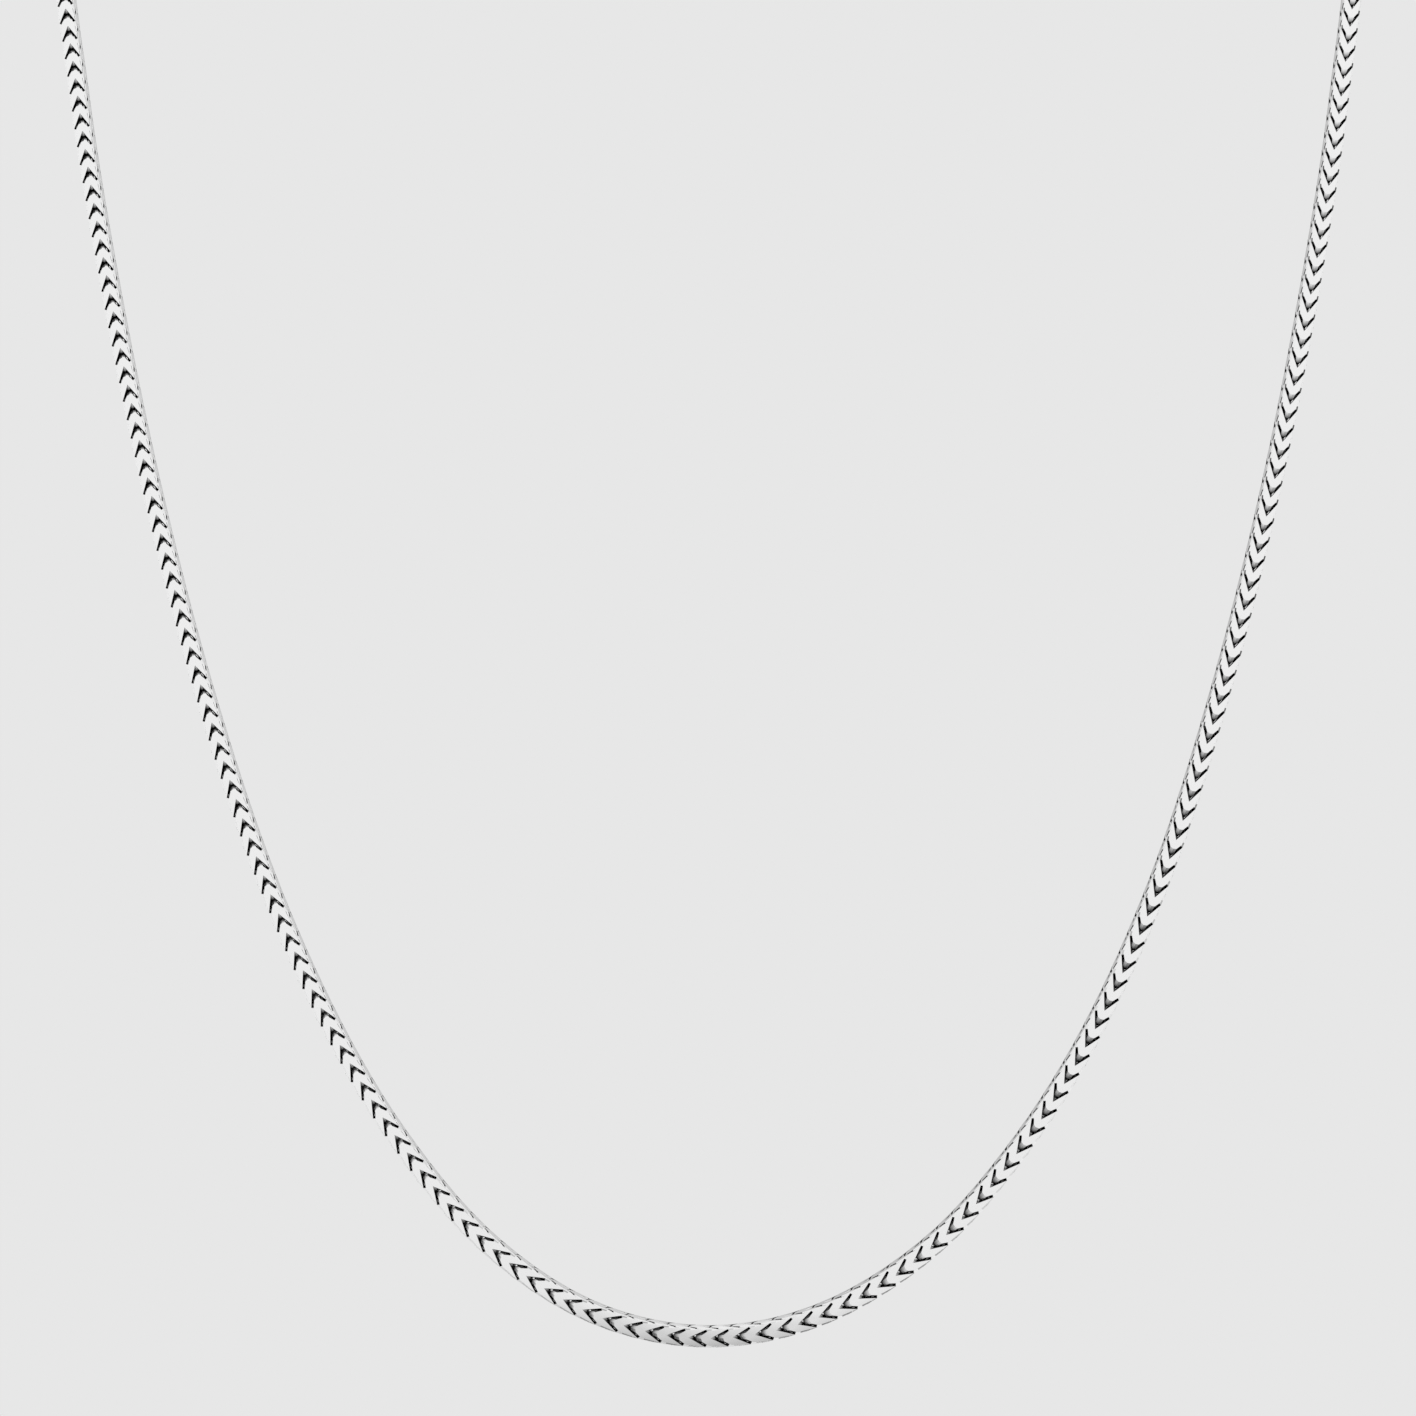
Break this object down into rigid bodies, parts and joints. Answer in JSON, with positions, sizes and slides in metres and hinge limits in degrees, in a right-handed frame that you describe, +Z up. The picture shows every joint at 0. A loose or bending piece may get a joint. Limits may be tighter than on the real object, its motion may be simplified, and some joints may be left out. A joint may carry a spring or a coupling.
{
  "type": "franco chain necklace",
  "caption": "Square chain of tightly nested V-shaped links, held as worn: a deep U in front, closed by a plain barrel clasp at the nape.",
  "frame": {"origin": "the point on the clasp's inner side that lies against the nape of the neck", "axes": "+Z up, -Y towards the front where the chain hangs, +X to the right as seen from the front"},
  "size_m": [0.1482, 0.1126, 0.1966],
  "materials": {
    "chain": "polished silver",
    "clasp": "polished silver"
  },
  "bodies": {
    "root": {"chain": "chain", "clasp": "clasp"}
  },
  "joints": []
}
